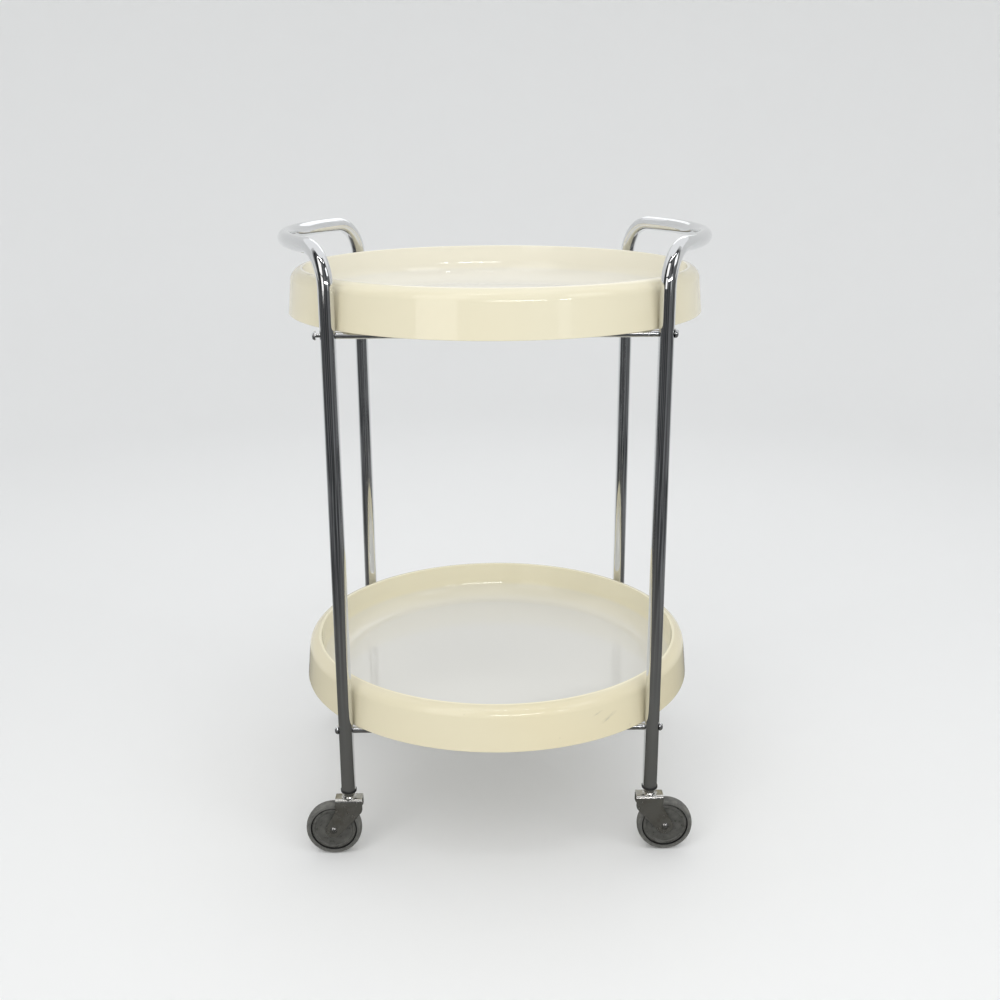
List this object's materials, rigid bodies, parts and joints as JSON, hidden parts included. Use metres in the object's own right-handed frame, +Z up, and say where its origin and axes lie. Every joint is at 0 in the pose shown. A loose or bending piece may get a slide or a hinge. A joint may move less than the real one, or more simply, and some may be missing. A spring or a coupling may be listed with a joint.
{
  "type": "bar cart",
  "caption": "Round bar cart: deep moulded plastic trays rest on thin chrome rods between bent chrome tube side frames with bowed handles, on swivel casters.",
  "frame": {"origin": "on the floor, under the common axis of the round trays", "axes": "+Z up; -Y is the front; +X is to the right of a person who faces the front"},
  "size_m": [0.4709, 0.457, 0.677],
  "materials": {
    "chrome_tube": "polished chrome plate",
    "chrome_rod": "polished chrome plate",
    "screw_metal": "bright plated steel",
    "cream_plastic": "glossy aged cream plastic",
    "black_plastic": "satin black",
    "zinc_steel": "zinc plated pressed steel",
    "spring_steel": "bright steel",
    "grey_plastic": "satin grey",
    "grey_rubber": "matt grey"
  },
  "bodies": {
    "frame": {"left_side_frame": "chrome_tube", "right_side_frame": "chrome_tube", "top_front_rod": "chrome_rod", "top_front_left_screw": "screw_metal", "top_front_right_screw": "screw_metal", "top_rear_rod": "chrome_rod", "top_rear_left_screw": "screw_metal", "top_rear_right_screw": "screw_metal", "bottom_front_rod": "chrome_rod", "bottom_front_left_screw": "screw_metal", "bottom_front_right_screw": "screw_metal", "bottom_rear_rod": "chrome_rod", "bottom_rear_left_screw": "screw_metal", "bottom_rear_right_screw": "screw_metal", "front_left_caster_socket": "black_plastic", "front_left_caster_stem": "zinc_steel", "front_left_caster_grip_ring": "spring_steel", "front_right_caster_socket": "black_plastic", "front_right_caster_stem": "zinc_steel", "front_right_caster_grip_ring": "spring_steel", "rear_left_caster_socket": "black_plastic", "rear_left_caster_stem": "zinc_steel", "rear_left_caster_grip_ring": "spring_steel", "rear_right_caster_socket": "black_plastic", "rear_right_caster_stem": "zinc_steel", "rear_right_caster_grip_ring": "spring_steel"},
    "top_tray": {"top_tray": "cream_plastic"},
    "bottom_tray": {"bottom_tray": "cream_plastic"},
    "front_left_swivel": {"front_left_caster_ball_race": "spring_steel", "front_left_caster_fork": "zinc_steel", "front_left_caster_axle_rivet": "zinc_steel", "front_left_caster_axle_sleeve": "spring_steel"},
    "front_left_wheel": {"front_left_caster_hub": "grey_plastic", "front_left_caster_tyre": "grey_rubber"},
    "front_right_swivel": {"front_right_caster_ball_race": "spring_steel", "front_right_caster_fork": "zinc_steel", "front_right_caster_axle_rivet": "zinc_steel", "front_right_caster_axle_sleeve": "spring_steel"},
    "front_right_wheel": {"front_right_caster_hub": "grey_plastic", "front_right_caster_tyre": "grey_rubber"},
    "rear_left_swivel": {"rear_left_caster_ball_race": "spring_steel", "rear_left_caster_fork": "zinc_steel", "rear_left_caster_axle_rivet": "zinc_steel", "rear_left_caster_axle_sleeve": "spring_steel"},
    "rear_left_wheel": {"rear_left_caster_hub": "grey_plastic", "rear_left_caster_tyre": "grey_rubber"},
    "rear_right_swivel": {"rear_right_caster_ball_race": "spring_steel", "rear_right_caster_fork": "zinc_steel", "rear_right_caster_axle_rivet": "zinc_steel", "rear_right_caster_axle_sleeve": "spring_steel"},
    "rear_right_wheel": {"rear_right_caster_hub": "grey_plastic", "rear_right_caster_tyre": "grey_rubber"}
  },
  "joints": [
    {"name": "top_tray_lift", "type": "slide", "parent": "frame", "child": "top_tray", "axis": [0, 0, 1], "range_m": [0, 0.03]},
    {"name": "bottom_tray_lift", "type": "slide", "parent": "frame", "child": "bottom_tray", "axis": [0, 0, 1], "range_m": [0, 0.377]},
    {"name": "front_left_swivel_turn", "type": "hinge", "parent": "frame", "child": "front_left_swivel", "pos_m": [-0.16751, -0.16751, 0.072], "axis": [0, 0, 1], "continuous": true},
    {"name": "front_left_wheel_roll", "type": "hinge", "parent": "front_left_swivel", "child": "front_left_wheel", "pos_m": [-0.18551, -0.16751, 0.031], "axis": [0, 1, 0], "continuous": true},
    {"name": "front_right_swivel_turn", "type": "hinge", "parent": "frame", "child": "front_right_swivel", "pos_m": [0.16751, -0.16751, 0.072], "axis": [0, 0, 1], "continuous": true},
    {"name": "front_right_wheel_roll", "type": "hinge", "parent": "front_right_swivel", "child": "front_right_wheel", "pos_m": [0.18551, -0.16751, 0.031], "axis": [0, 1, 0], "continuous": true},
    {"name": "rear_left_swivel_turn", "type": "hinge", "parent": "frame", "child": "rear_left_swivel", "pos_m": [-0.16751, 0.16751, 0.072], "axis": [0, 0, 1], "continuous": true},
    {"name": "rear_left_wheel_roll", "type": "hinge", "parent": "rear_left_swivel", "child": "rear_left_wheel", "pos_m": [-0.18551, 0.16751, 0.031], "axis": [0, 1, 0], "continuous": true},
    {"name": "rear_right_swivel_turn", "type": "hinge", "parent": "frame", "child": "rear_right_swivel", "pos_m": [0.16751, 0.16751, 0.072], "axis": [0, 0, 1], "continuous": true},
    {"name": "rear_right_wheel_roll", "type": "hinge", "parent": "rear_right_swivel", "child": "rear_right_wheel", "pos_m": [0.18551, 0.16751, 0.031], "axis": [0, 1, 0], "continuous": true}
  ]
}
